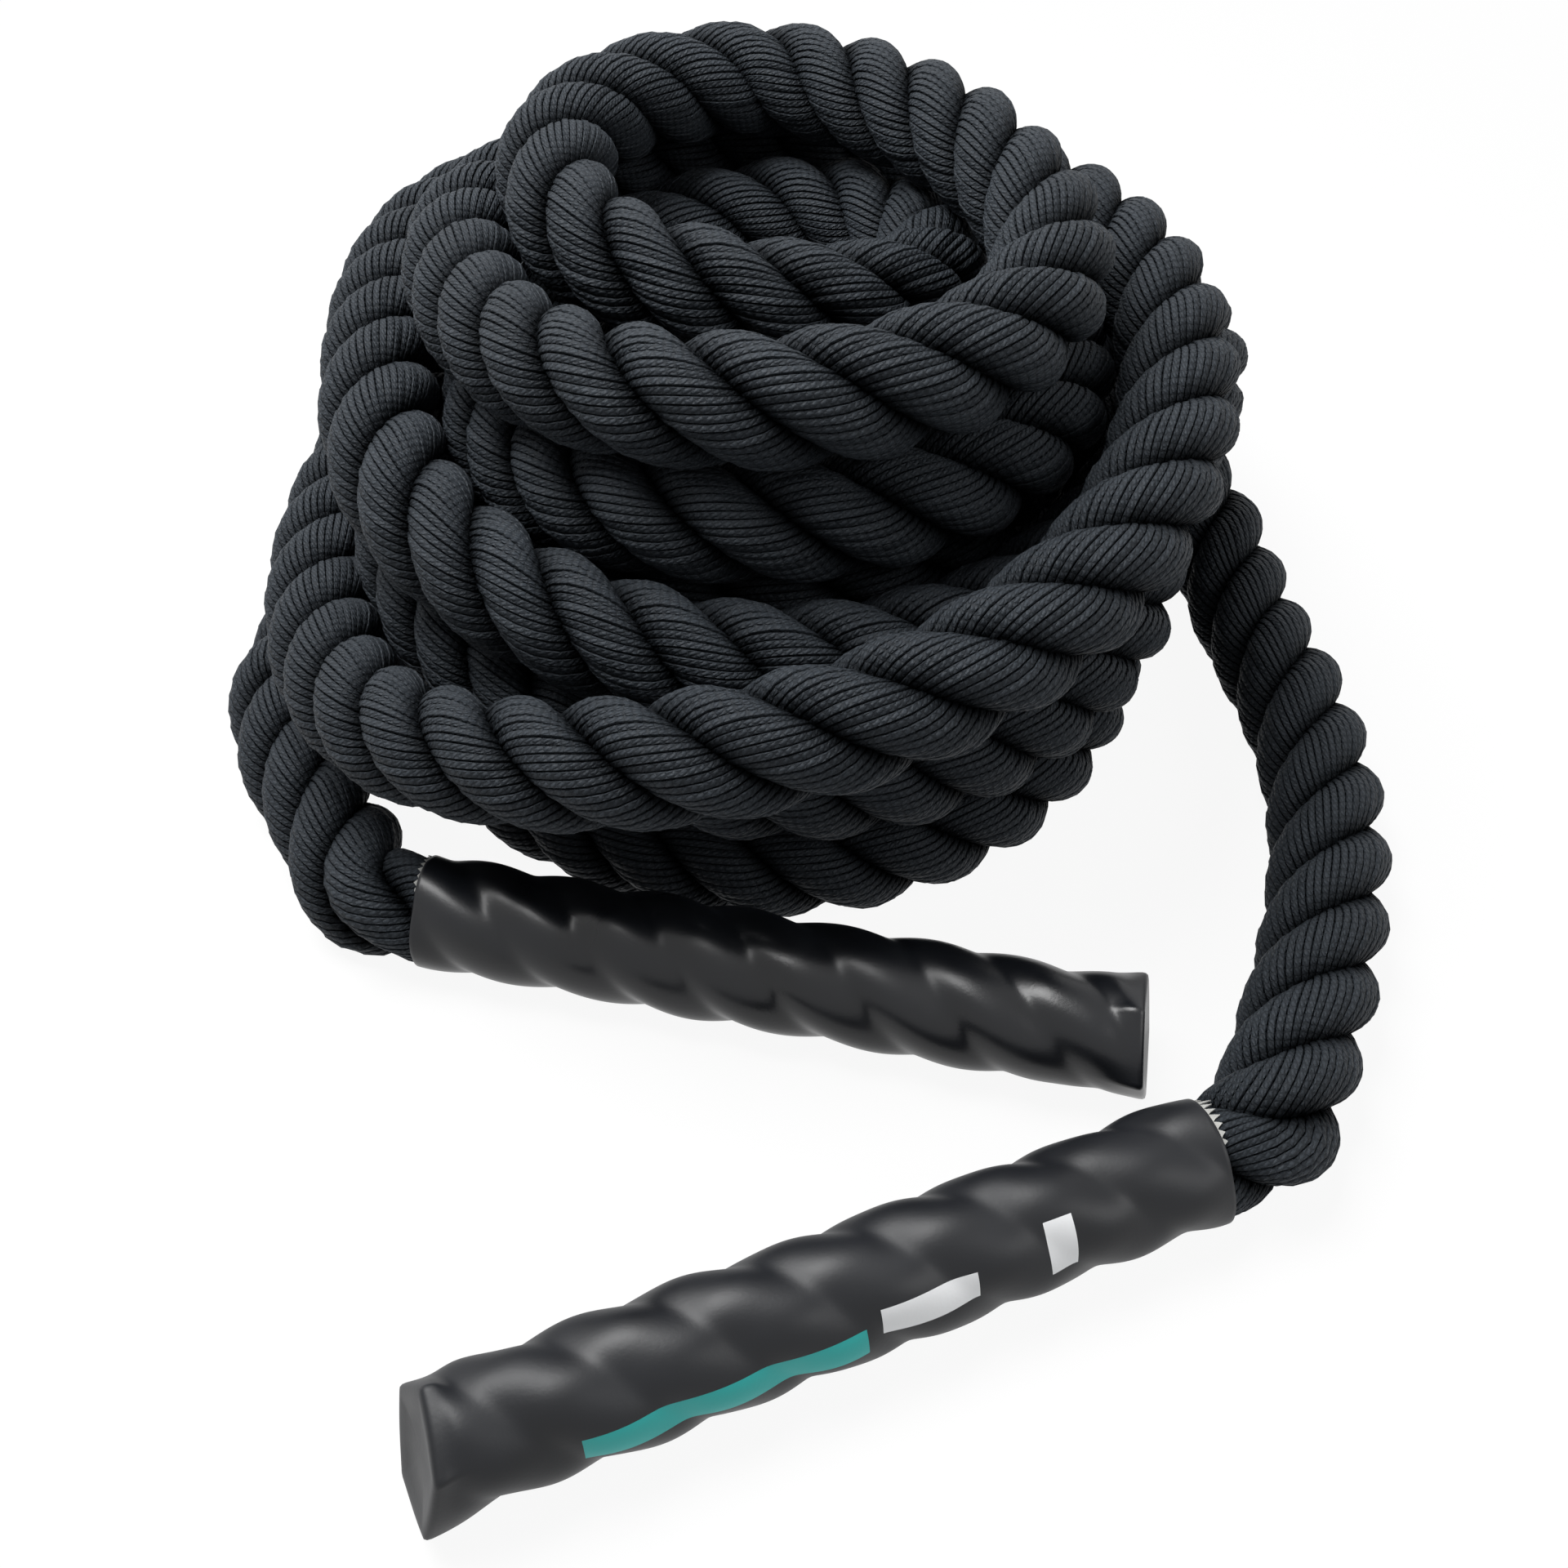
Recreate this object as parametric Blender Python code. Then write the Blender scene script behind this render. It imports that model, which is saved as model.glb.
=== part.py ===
"""Battle rope: one long three-strand training rope laid down in a loose, leaning pile of rounds.

Both ends run out over the floor to the front, and each end is dressed as a grip: the rope is bound
with tape, and a shrunk sleeve with one closed, slightly flared end covers it.
Metres, +Z up, the front of the pile towards -Y. Lengths that follow the rope's thickness are written
as shares of ROPE_DIAMETER, so the pile keeps its form for a thinner or a thicker rope.
"""

import math

import bmesh
import bpy
import numpy as np
from mathutils import Matrix, Vector

# Rope
ROPE_DIAMETER = 0.050
LAY_LENGTH = 0.115
SEAM_GAP = 0.0003

# Grips: the sleeve, the bound rope in it and the tape that shows at its mouth
GRIP_LENGTH = 0.309
BOUND_RADIUS = 0.020
NECK_LENGTH = 0.012
TAPE_THICKNESS = 0.0008
TAPE_SHOWING = 0.009
TAPE_COVERED = 0.014
SLEEVE_WALL = 0.0022
SLEEVE_CREST = 0.0007
FLARE_RISE = 0.0032
FLARE_LENGTH = 0.022
FLARE_EDGE = 0.002
END_WALL = 0.0025

# Radii that follow from the bound rope outwards: the seats in the sleeve, its wall and its flared end
ROPE_SEAT = BOUND_RADIUS + SEAM_GAP
TAPE_RADIUS = ROPE_SEAT + TAPE_THICKNESS
TAPE_SEAT = TAPE_RADIUS + SEAM_GAP
SLEEVE_RADIUS = TAPE_SEAT + SLEEVE_WALL
FLARE_RADIUS = SLEEVE_RADIUS + FLARE_RISE

# Heights of the rope's centre on the floor, and the least spacing of two rounds
FLOOR_ROUND_SHARE = 0.40
SPACING_SHARE = 1.06

# Counts
TAIL_SIDES = 8
COIL_POINTS_PER_TURN = 24
GRIP_SIDES = 18
SLEEVE_RINGS = 32
STRANDS = 3

# The pile, one row a turn from the near grip's end of the rope to the far grip's end: the reach from
# the pile's middle and the height of the rope's centre, at the right, the back, the left and the front.
TURN_SHARES = (
    (4.72, 0.46, 4.00, 1.40, 3.36, 1.78, 3.28, 1.43),
    (3.08, 1.38, 4.50, 2.62, 3.28, 3.34, 3.04, 2.84),
    (3.24, 2.56, 4.95, 1.80, 4.34, 1.20, 3.96, 2.78),
    (3.04, 3.44, 3.86, 3.56, 2.46, 3.86, 2.36, 4.26),
    (2.20, 4.22, 1.88, 4.12, 2.16, 4.20, 1.76, 4.20),
    (1.55, 3.80, 2.70, 3.36, 2.70, 2.94, 2.38, 3.42),
    (2.42, 3.24, 2.66, 2.36, 2.34, 2.06, 2.34, 2.40),
    (2.20, 2.34, 1.72, 2.10, 1.36, 1.92, 1.34, 1.70),
    (1.36, 1.50, 1.36, 1.15, 1.36, 0.75, 1.32, 0.46),
    (1.26, 0.40, 2.08, 0.40, 2.52, 0.40, 2.30, 0.40),
    (2.34, 0.40, 2.75, 1.30, 2.80, 1.30, 2.34, 1.40),
    (2.24, 1.40, 3.42, 0.46, 3.56, 0.40, 3.26, 0.40),
    (3.02, 0.40, 4.46, 0.40, 4.69, 0.44, 5.00, 0.46),
)
LAST_QUARTER = 50

# Where the middle of the turns lies: a count of quarter turns, then its place. Two rounds are moved
# apart where they cross at the back on the right, one bulges out at the back on the left, the top
# loop sits back, and the innermost rounds sit a little to the left.
MIDDLE_SHARES = (
    (0.0, 0.0, 0.0),
    (3.8, 0.0, 0.0),
    (4.25, -0.42, -0.20),
    (4.6, -0.34, -0.34),
    (5.0, 0.0, 0.0),
    (5.5, -0.46, 0.64),
    (6.1, 0.0, 0.0),
    (7.8, 0.0, 0.0),
    (8.25, 0.38, 0.20),
    (8.6, 0.34, 0.34),
    (9.1, 0.0, 0.0),
    (16.0, 0.0, 0.0),
    (17.1, -0.31, 1.47),
    (18.6, -0.36, 1.44),
    (21.6, 0.0, 0.0),
    (29.0, 0.0, 0.0),
    (30.5, -0.25, 0.0),
    (35.6, -0.25, 0.0),
    (37.0, 0.0, 0.0),
    (50.0, 0.0, 0.0),
)

# The grips on the floor: the near one's mouth and the far one's closed end, from the pile's middle
NEAR_MOUTH_SHARES = (3.22, -6.41)
NEAR_HEADING = math.radians(201.9)
FAR_END_SHARES = (2.95, -5.35)
FAR_HEADING = math.radians(-13.0)

# The free ends' points, as shares of the straight way from grip to pile: along it, and out to its right
NEAR_TAIL_SHARES = ((0.061, 0.038), (0.208, 0.081), (0.417, 0.107), (0.673, 0.102), (0.872, 0.052))
FAR_TAIL_SHARES = ((0.164, -0.048), (0.382, -0.083), (0.617, -0.098), (0.814, -0.067))

# How the laid pile is let settle
SAMPLE_SHARE = 0.30
NEIGHBOUR_SHARE = 2.4
SEARCH_SHARE = 0.35
SETTLE_ROUNDS = 700
SINK_SHARE = 0.002
RETURN_SHARE = 0.02
FAIRING_SHARE = 0.04
PUSH_SHARE = 1.7
FINAL_ROUNDS_SHARE = 0.25


def clear_scene():
    """Remove whatever the open file holds."""
    for found in list(bpy.data.objects):
        bpy.data.objects.remove(found, do_unlink=True)


def material(name, colour, roughness, metallic=0.0):
    """A Principled material."""
    made = bpy.data.materials.new(name)
    made.use_nodes = True
    shader = made.node_tree.nodes["Principled BSDF"]
    shader.inputs["Base Color"].default_value = (*colour, 1.0)
    shader.inputs["Roughness"].default_value = roughness
    shader.inputs["Metallic"].default_value = metallic
    made.diffuse_color = (*colour, 1.0)
    return made


def rope_material():
    """Black spun polyester."""
    return material("rope_black_polyester", (0.022, 0.024, 0.027), 0.85)


def bound_material():
    """The rope's bound ends, in the same fibre, pressed tight."""
    return material("bound_rope_polyester", (0.018, 0.019, 0.021), 0.80)


def sleeve_material():
    """Soft black shrink tube with a satin shine."""
    return material("sleeve_black_polyolefin", (0.026, 0.028, 0.032), 0.38)


def tape_material():
    """Pale fibre tape, frayed at the mouth."""
    return material("tape_pale_fibre", (0.52, 0.53, 0.52), 0.75)


def smooth_rows(rows, places):
    """Rows read at fractional row numbers on one smooth curve through all of them."""
    rows = np.asarray(rows, float)
    last = len(rows) - 1
    row = np.clip(np.floor(places).astype(int), 0, last - 1)
    part = (places - row)[:, None]
    before = rows[np.clip(row - 1, 0, last)]
    start = rows[row]
    end = rows[row + 1]
    after = rows[np.clip(row + 2, 0, last)]
    linear = (end - before) * part
    square = (2 * before - 5 * start + 4 * end - after) * part ** 2
    cube = (3 * start - before - 3 * end + after) * part ** 3
    return 0.5 * (2 * start + linear + square + cube)


def arc_lengths(points):
    """The way along a row of points."""
    steps = np.linalg.norm(np.diff(points, axis=0), axis=1)
    return np.concatenate([[0.0], np.cumsum(steps)])


def eased_middle(quarters):
    """The middle of the pile's turns at each count of quarter turns."""
    rows = np.array(MIDDLE_SHARES)
    row = np.clip(np.searchsorted(rows[:, 0], quarters, side="right") - 1, 0, len(rows) - 2)
    part = np.clip((quarters - rows[row, 0]) / (rows[row + 1, 0] - rows[row, 0]), 0.0, 1.0)
    eased = (part * part * (3 - 2 * part))[:, None]
    return rows[row, 1:] + (rows[row + 1, 1:] - rows[row, 1:]) * eased


def laid_pile():
    """The pile as laid, evenly sampled, in rope diameters: quarter-turn counts and centre points."""
    quarters = np.linspace(0.0, LAST_QUARTER, LAST_QUARTER * COIL_POINTS_PER_TURN + 1)
    reach_and_height = smooth_rows(np.array(TURN_SHARES).reshape(-1, 2), quarters)
    angles = quarters * math.pi / 2
    middle = eased_middle(quarters)
    points = np.column_stack([
        middle[:, 0] + reach_and_height[:, 0] * np.cos(angles),
        middle[:, 1] + reach_and_height[:, 0] * np.sin(angles),
        reach_and_height[:, 1],
    ])
    way = arc_lengths(points)
    even = np.linspace(0.0, way[-1], int(round(way[-1] / SAMPLE_SHARE)) + 1)
    sampled = np.column_stack([np.interp(even, way, points[:, axis]) for axis in range(3)])
    return np.interp(even, way, quarters), sampled


def near_pairs(points):
    """Pairs of samples of different rounds that are close enough to touch soon."""
    apart = np.linalg.norm(points[:, None] - points[None], axis=2)
    first, second = np.nonzero(np.triu(apart < SPACING_SHARE + SEARCH_SHARE, 1))
    other_round = second - first > round(NEIGHBOUR_SHARE / SAMPLE_SHARE)
    return first[other_round], second[other_round]


def settled_pile():
    """The laid pile, its rounds pushed apart to their spacing and sunk until they rest on each other."""
    quarters, laid = laid_pile()
    count = len(laid)
    free = np.ones(count)
    free[:3] = 0.0
    free[-3:] = 0.0
    moved = np.zeros_like(laid)
    first, second = near_pairs(laid)
    for turn in range(SETTLE_ROUNDS):
        now = laid + moved
        if turn % 20 == 0:
            first, second = near_pairs(now)
        between = now[first] - now[second]
        apart = np.sqrt((between * between).sum(axis=1))
        share = np.maximum(SPACING_SHARE - apart, 0.0) / apart
        share = share / np.maximum(free[first] + free[second], 1.0)
        touching = share > 0
        touches = np.bincount(first, touching, count) + np.bincount(second, touching, count)
        push = np.zeros_like(laid)
        for axis in range(3):
            push[:, axis] += np.bincount(first, share * between[:, axis], count)
            push[:, axis] -= np.bincount(second, share * between[:, axis], count)
        push *= (PUSH_SHARE * free / np.maximum(touches, 1.0))[:, None]
        passes = 1
        if turn < SETTLE_ROUNDS * (1 - FINAL_ROUNDS_SHARE):
            push[:, 2] -= SINK_SHARE * free
            push -= RETURN_SHARE * moved
            passes = 3
        moved = moved + push
        for _ in range(passes):
            bend = moved[:-2] + moved[2:] - 2 * moved[1:-1]
            moved[1:-1] += 0.25 * bend * free[1:-1, None]
        now = laid + moved
        kink = now[:-4] - 4 * now[1:-3] + 6 * now[2:-2] - 4 * now[3:-1] + now[4:]
        moved[2:-2] -= FAIRING_SHARE * kink * free[2:-2, None]
        moved[:, 2] = np.maximum(laid[:, 2] + moved[:, 2], FLOOR_ROUND_SHARE) - laid[:, 2]
    return quarters, laid + moved


def pile_route():
    """The pile's centre line in metres, a straight run of one diameter at each end included."""
    quarters, settled = settled_pile()
    count = LAST_QUARTER * COIL_POINTS_PER_TURN // 4
    wanted = np.linspace(0.0, LAST_QUARTER, count + 1)
    places = np.interp(wanted, quarters, np.arange(len(quarters)))
    points = smooth_rows(settled, places)
    lead_in = points[0] - points[1]
    lead_out = points[-1] - points[-2]
    lead_in[2] = 0.0
    lead_out[2] = 0.0
    start = points[0] + lead_in / np.linalg.norm(lead_in)
    end = points[-1] + lead_out / np.linalg.norm(lead_out)
    route = np.vstack([start, points, end]) * ROPE_DIAMETER
    floor_height = tail_height()
    route[:2, 2] = floor_height
    route[-2:, 2] = floor_height
    return route


def tail_height():
    """The height at which the free ends' centre lies, a flat of their section on the floor."""
    return ROPE_DIAMETER / 2 * math.cos(math.pi / TAIL_SIDES)


def print_least_gap(route):
    """Measure the coil's least gap to itself, between the centre line's segments, and its length."""
    way = arc_lengths(route)
    starts = route[:-1]
    runs = np.diff(route, axis=0)
    squares = (runs * runs).sum(axis=1)
    least = math.inf
    for place in np.linspace(0.0, len(route) - 1, 4 * len(route)):
        row = min(int(place), len(route) - 2)
        point = starts[row] + runs[row] * (place - row)
        here = np.interp(place, np.arange(len(route)), way)
        along = np.clip(((point - starts) * runs).sum(axis=1) / squares, 0.0, 1.0)
        apart = np.linalg.norm(point - starts - runs * along[:, None], axis=1)
        there = way[:-1] + along * np.sqrt(squares)
        apart[np.abs(there - here) < NEIGHBOUR_SHARE * ROPE_DIAMETER] = math.inf
        least = min(least, apart.min())
    print("coil length %.3f m, least gap to itself %.2f mm" % (way[-1], (least - ROPE_DIAMETER) * 1000))


def tube_curve(name, route, sides, tilt):
    """A round tube along a route: a curve with a bevel and filled caps."""
    curve = bpy.data.curves.new(name, "CURVE")
    curve.dimensions = "3D"
    curve.twist_mode = "Z_UP"
    curve.bevel_depth = ROPE_DIAMETER / 2
    curve.bevel_resolution = (sides - 4) // 2
    curve.use_fill_caps = True
    spline = curve.splines.new("POLY")
    spline.points.add(len(route) - 1)
    for point, place in zip(spline.points, route):
        point.co = (*place, 1.0)
        point.tilt = tilt
    tube = bpy.data.objects.new(name, curve)
    bpy.context.scene.collection.objects.link(tube)
    return tube


def coil(route, pile):
    """The piled rounds as one unbroken tube, cut flat where they lie on the floor."""
    guide = tube_curve("coil_guide", route, 6, 0.0)
    evaluated = guide.evaluated_get(bpy.context.evaluated_depsgraph_get())
    mesh = bpy.data.meshes.new_from_object(evaluated)
    bpy.data.objects.remove(guide, do_unlink=True)
    body = bmesh.new()
    body.from_mesh(mesh)
    bmesh.ops.remove_doubles(body, verts=body.verts, dist=SEAM_GAP / 3)
    bmesh.ops.recalc_face_normals(body, faces=body.faces)
    body.to_mesh(mesh)
    body.free()
    mesh.name = "rope_coil"
    made = bpy.data.objects.new("rope_coil", mesh)
    bpy.context.scene.collection.objects.link(made)
    made.data.materials.clear()
    made.data.materials.append(rope_material())
    made.parent = pile
    floor = floor_cutter(route, pile)
    cut = made.modifiers.new("flat underside", "BOOLEAN")
    cut.operation = "DIFFERENCE"
    cut.solver = "EXACT"
    cut.object = floor
    return made


def floor_cutter(route, pile):
    """A slab whose top is the floor."""
    reach = np.abs(route[:, :2]).max() + ROPE_DIAMETER
    mesh = bpy.data.meshes.new("floor_cutter")
    body = bmesh.new()
    size = Matrix.Diagonal((2 * reach, 2 * reach, 2 * ROPE_DIAMETER, 1.0))
    down = Matrix.Translation((0.0, 0.0, -ROPE_DIAMETER))
    bmesh.ops.create_cube(body, size=1.0, matrix=down @ size)
    body.to_mesh(mesh)
    body.free()
    cutter = bpy.data.objects.new("floor_cutter", mesh)
    bpy.context.scene.collection.objects.link(cutter)
    cutter.hide_render = True
    cutter.display_type = "WIRE"
    cutter.parent = pile
    return cutter


def grip_frames():
    """Where each grip's mouth is and how its axis runs, mouth to closed end, as matrices."""
    mouth_height = SLEEVE_RADIUS + SLEEVE_CREST
    end_height = FLARE_RADIUS
    rise = math.asin((end_height - mouth_height) / GRIP_LENGTH)
    flat_run = GRIP_LENGTH * math.cos(rise)
    frames = {}
    for side, heading in (("near", NEAR_HEADING), ("far", FAR_HEADING)):
        run = Vector((math.cos(heading), math.sin(heading), 0.0))
        if side == "near":
            mouth = Vector((*NEAR_MOUTH_SHARES, 0.0)) * ROPE_DIAMETER
        else:
            mouth = Vector((*FAR_END_SHARES, 0.0)) * ROPE_DIAMETER - run * flat_run
        mouth.z = mouth_height
        turn = Matrix.Rotation(heading, 4, "Z") @ Matrix.Rotation(-rise, 4, "Y")
        frames[side] = Matrix.Translation(mouth) @ turn
    return frames


def tail_route(frame, shares, coil_end, coil_next):
    """Centre points of a free end, from the grip's neck to the pile, a point about every diameter."""
    axis = frame.to_3x3() @ Vector((1.0, 0.0, 0.0))
    neck = frame.translation - axis * (NECK_LENGTH + SEAM_GAP)
    straight = neck - axis * (ROPE_DIAMETER / 3)
    outward = Vector(coil_end) - Vector(coil_next)
    outward.normalize()
    end = Vector(coil_end) + outward * SEAM_GAP
    before_end = end + outward * (ROPE_DIAMETER / 3)
    way_over = end - neck
    right = Vector((way_over.y, -way_over.x, 0.0))
    middle = [neck + way_over * along + right * out for along, out in shares]
    for place in middle:
        place.z = tail_height()
    chosen = np.array([neck, straight, *middle, before_end, end])
    fine = smooth_rows(chosen[1:-1], np.linspace(0.0, len(chosen) - 3, 200))
    way = arc_lengths(fine)
    even = np.linspace(0.0, way[-1], int(round(way[-1] / ROPE_DIAMETER)) + 1)
    read = np.column_stack([np.interp(even, way, fine[:, axis_index]) for axis_index in range(3)])
    return np.vstack([chosen[:1], read, chosen[-1:]])


def tail(name, route, pile):
    """A free stretch of rope on the floor, from a grip to the pile."""
    made = tube_curve(name, route, TAIL_SIDES, math.pi / TAIL_SIDES)
    made.data.materials.append(rope_material())
    made.parent = pile
    return made


def ring(place, radius, crest=0.0, twist=0.0):
    """A ring of points round the grip's axis, round or with one swell a strand."""
    points = []
    for step in range(GRIP_SIDES):
        angle = 2 * math.pi * step / GRIP_SIDES
        reach = radius + crest * math.cos(STRANDS * (angle - twist))
        points.append(Vector((place, reach * math.cos(angle), reach * math.sin(angle))))
    return points


def ringed_body(name, rings, closed, parent, look):
    """A closed body through rings of points, capped at both ends or joined end to start."""
    body = bmesh.new()
    rows = [[body.verts.new(point) for point in points] for points in rings]
    pairs = list(zip(rows[:-1], rows[1:]))
    if closed:
        pairs.append((rows[-1], rows[0]))
    else:
        body.faces.new(rows[0])
        body.faces.new(rows[-1])
    for one, other in pairs:
        for step in range(GRIP_SIDES):
            after = (step + 1) % GRIP_SIDES
            body.faces.new((one[step], one[after], other[after], other[step]))
    bmesh.ops.recalc_face_normals(body, faces=body.faces)
    mesh = bpy.data.meshes.new(name)
    body.to_mesh(mesh)
    body.free()
    mesh.shade_smooth()
    mesh.set_sharp_from_angle(angle=math.radians(40))
    mesh.materials.append(look)
    made = bpy.data.objects.new(name, mesh)
    bpy.context.scene.collection.objects.link(made)
    made.parent = parent
    return made


def sleeve(name, parent):
    """A shrunk sleeve: its wall follows the strands under it, its closed end is flared and flat."""
    rings = [ring(GRIP_LENGTH, FLARE_RADIUS - FLARE_EDGE), ring(GRIP_LENGTH - FLARE_EDGE, FLARE_RADIUS)]
    wall_length = GRIP_LENGTH - FLARE_LENGTH
    for step in range(SLEEVE_RINGS, -1, -1):
        place = wall_length * step / SLEEVE_RINGS
        rings.append(ring(place, SLEEVE_RADIUS, SLEEVE_CREST, 2 * math.pi * place / LAY_LENGTH))
    tape_depth = TAPE_COVERED + SEAM_GAP
    rings.append(ring(0.0, TAPE_SEAT))
    rings.append(ring(tape_depth, TAPE_SEAT))
    rings.append(ring(tape_depth, ROPE_SEAT))
    rings.append(ring(GRIP_LENGTH - END_WALL, ROPE_SEAT))
    return ringed_body(name, rings, False, parent, sleeve_material())


def bound_end(name, parent):
    """The rope's end, bound tight, in its sleeve and a short way out of the mouth."""
    rings = [ring(-NECK_LENGTH, BOUND_RADIUS), ring(GRIP_LENGTH - END_WALL - SEAM_GAP, BOUND_RADIUS)]
    return ringed_body(name, rings, False, parent, bound_material())


def binding_tape(name, parent):
    """Tape round the bound rope, half under the sleeve's mouth and half in the open."""
    rings = [
        ring(-TAPE_SHOWING, ROPE_SEAT),
        ring(-TAPE_SHOWING, TAPE_RADIUS),
        ring(TAPE_COVERED, TAPE_RADIUS),
        ring(TAPE_COVERED, ROPE_SEAT),
    ]
    return ringed_body(name, rings, True, parent, tape_material())


def lowest_and_highest(objects):
    """The corners of the box round some objects, in the world."""
    graph = bpy.context.evaluated_depsgraph_get()
    low = np.full(3, math.inf)
    high = np.full(3, -math.inf)
    for made in objects:
        evaluated = made.evaluated_get(graph)
        mesh = evaluated.to_mesh()
        for vertex in mesh.vertices:
            place = np.array(evaluated.matrix_world @ vertex.co)
            low = np.minimum(low, place)
            high = np.maximum(high, place)
        evaluated.to_mesh_clear()
    return low, high


def main():
    clear_scene()
    pile = bpy.data.objects.new("pile", None)
    bpy.context.scene.collection.objects.link(pile)
    route = pile_route()
    print_least_gap(route)
    frames = grip_frames()
    pieces = [coil(route, pile)]
    near_route = tail_route(frames["near"], NEAR_TAIL_SHARES, route[0], route[1])
    far_route = tail_route(frames["far"], FAR_TAIL_SHARES, route[-1], route[-2])
    pieces.append(tail("rope_tail_near", near_route, pile))
    pieces.append(tail("rope_tail_far", far_route, pile))
    for side in ("near", "far"):
        grip = bpy.data.objects.new("grip_" + side, None)
        bpy.context.scene.collection.objects.link(grip)
        grip.parent = pile
        grip.matrix_local = frames[side]
        pieces.append(sleeve("handle_sleeve_" + side, grip))
        pieces.append(bound_end("rope_end_" + side, grip))
        pieces.append(binding_tape("binding_tape_" + side, grip))
    rope_length = arc_lengths(route)[-1] + arc_lengths(near_route)[-1] + arc_lengths(far_route)[-1]
    rope_length += 2 * (NECK_LENGTH + GRIP_LENGTH - END_WALL)
    bpy.context.view_layer.update()
    low, high = lowest_and_highest(pieces)
    middle = (low + high) / 2
    pile.location = (-middle[0], -middle[1], -low[2])
    print("rope length in all %.3f m, pile's middle at %.4f %.4f" % (rope_length, -middle[0], -middle[1]))
    print("box %.4f x %.4f x %.4f m, floor at %.5f" % (*(high - low), low[2]))


main()
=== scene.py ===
"""Battle rope: the looks of a 12 m three-strand training rope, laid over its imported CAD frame.

The rope is made strand by strand, each with its yarns, in a few lengths that meet end to end.
Shrunk sleeves with one closed, flared end cover both ends, and frayed tape shows at their mouths.
Metres, +Z up, the front of the pile towards -Y. Lengths called shares are in rope diameters.
"""

import functools
import math

import bmesh
import bpy
import numpy as np
from bpy.props import FloatProperty, FloatVectorProperty, IntProperty, PointerProperty
from mathutils import Matrix, Vector


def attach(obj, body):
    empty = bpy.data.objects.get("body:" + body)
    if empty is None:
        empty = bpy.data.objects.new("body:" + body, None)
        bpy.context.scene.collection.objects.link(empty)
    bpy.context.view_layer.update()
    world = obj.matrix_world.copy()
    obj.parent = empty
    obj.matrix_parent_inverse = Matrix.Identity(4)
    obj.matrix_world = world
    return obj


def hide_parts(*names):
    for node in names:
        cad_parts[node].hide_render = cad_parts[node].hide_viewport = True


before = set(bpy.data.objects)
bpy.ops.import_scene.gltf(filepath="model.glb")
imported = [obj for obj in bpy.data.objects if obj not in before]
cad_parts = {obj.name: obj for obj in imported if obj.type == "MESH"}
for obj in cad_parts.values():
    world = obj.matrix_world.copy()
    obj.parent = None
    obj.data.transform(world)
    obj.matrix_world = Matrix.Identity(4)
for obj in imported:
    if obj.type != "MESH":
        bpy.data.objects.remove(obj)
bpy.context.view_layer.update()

bl_info = {
    "name": "Battle Rope",
    "version": (1, 0, 0),
    "blender": (4, 5, 0),
    "location": "3D View > Sidebar > Battle Rope",
    "description": "A piled three-strand battle rope with two sleeved grips",
    "category": "Add Mesh",
}

MILLIMETRE = 0.001
BODY = "root"
BAKE_MAP = "OFBake"
FIBRE_MAP = "Fibres"
# The mask for the painted shade in the creases between strands: 0 where the rope's colour is
# darkened
CREASE_SHADE_MASK = "Openness"

# The frame's own sizes, which the rope's way over the floor follows
ROPE_DIAMETER = 0.050
SEAM_GAP = 0.0003
GRIP_LENGTH = 0.309
NECK_LENGTH = 0.012
SLEEVE_RADIUS = 0.0236
SLEEVE_CREST = 0.0007
FLARE_RADIUS = 0.0268
END_WALL = 0.0025
PILE_MIDDLE = (-0.0032, 0.0892)
FLOOR_ROUND_SHARE = 0.40
SPACING_SHARE = 1.06
TAIL_SIDES = 8
COIL_POINTS_PER_TURN = 24

# The strands: how far along the rope one goes in a turn round it, the points across a yarn of its
# skin, and how far a bound end stops short of the sleeve's closed end
STRANDS = 3
LAY_LENGTH = 0.1143
POINTS_A_YARN = 3
END_SETBACK = 0.016

# Where a bound end widens to the free rope, as a share of the diameter
RUN_IN_SHARE = 0.6

# A strand's unevenness. Its thickness: a share, the waves' turns along it and their shift a strand.
# Its yarns: a height, the waves' turns a yarn, along the rope and a strand.
THICKNESS_WAVES = ((0.012, 41.0, 2.1), (0.008, 97.0, 1.3))
YARN_WAVES = ((0.00022, 2.4, 63.0, 1.0), (0.00012, 5.1, -171.0, 0.0))

# The cosines, round a strand from its outer side, at which it lies in a crease and in the open:
# painted shade darkens the rope's colour fully at the first and not at all from the second
FULL_SHADE_COSINE = -0.05
UNSHADED_COSINE = 0.88

# How near the floor a rope and a sleeve press flat on it
ROPE_PRESS = 0.0022
SLEEVE_PRESS = 0.0012

# The bake map's free edge beside a skin, and the angle from which an edge of a skin is shaded sharp
MAP_EDGE = 0.02
SHARP_ANGLE = math.radians(72)

# The sleeves' rings at the mouth, inside to out: how deep each lies, and its inset in walls
MOUTH_RINGS = ((0.020, 1.0), (0.008, 1.0), (0.0005, 1.0), (-0.0002, 0.75), (-0.0003, 0.35))
# Over the closed end's edge: how far before the end each ring lies, and its inset
EDGE_RINGS = ((0.0028, 0.0), (0.0014, 0.0002), (0.0004, 0.0009))
# The dished closed end: each ring's reach as a share, and how deep it lies
DISH_RINGS = (
    (0.97, 0.0), (0.88, 0.0001), (0.72, 0.0008), (0.5, 0.0016), (0.25, 0.0019), (0.08, 0.002)
)
DISH_INSET = 0.0020
LAST_RING = 0.004

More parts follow.
